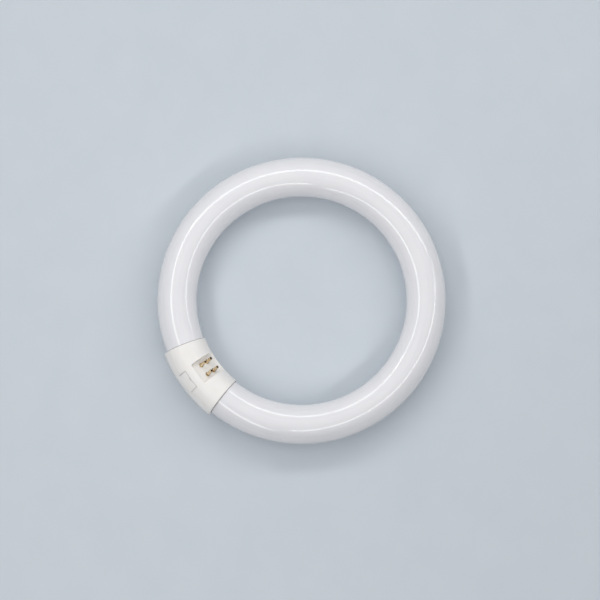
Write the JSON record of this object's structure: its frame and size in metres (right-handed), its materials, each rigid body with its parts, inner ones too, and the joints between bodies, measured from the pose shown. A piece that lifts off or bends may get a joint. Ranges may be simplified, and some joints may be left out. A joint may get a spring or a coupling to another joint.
{
  "type": "circular fluorescent tube",
  "caption": "Circular fluorescent lamp: a white glass tube bent into a ring, its ends closed by a snap-fit plastic cap with hollow brass contact pins in a recess.",
  "frame": {"origin": "centre of the ring, in the plane of the glass tube's axis circle", "axes": "+Z square to the ring, to the side on which the pins look out; -Y from the centre to the middle of the cap; +X along the tube at the cap"},
  "size_m": [0.2096, 0.2118, 0.0316],
  "materials": {
    "white_glass": "gloss",
    "cap_plastic": "satin",
    "pin_brass": "satin",
    "lead_wire": "satin"
  },
  "bodies": {
    "root": {"glass_tube": "white_glass", "cap_pin_shell": "cap_plastic", "cap_back_shell": "cap_plastic", "contact_pin_1": "pin_brass", "contact_pin_2": "pin_brass", "contact_pin_3": "pin_brass", "contact_pin_4": "pin_brass", "lead_wire_1": "lead_wire", "lead_wire_2": "lead_wire", "lead_wire_3": "lead_wire", "lead_wire_4": "lead_wire"}
  },
  "joints": []
}
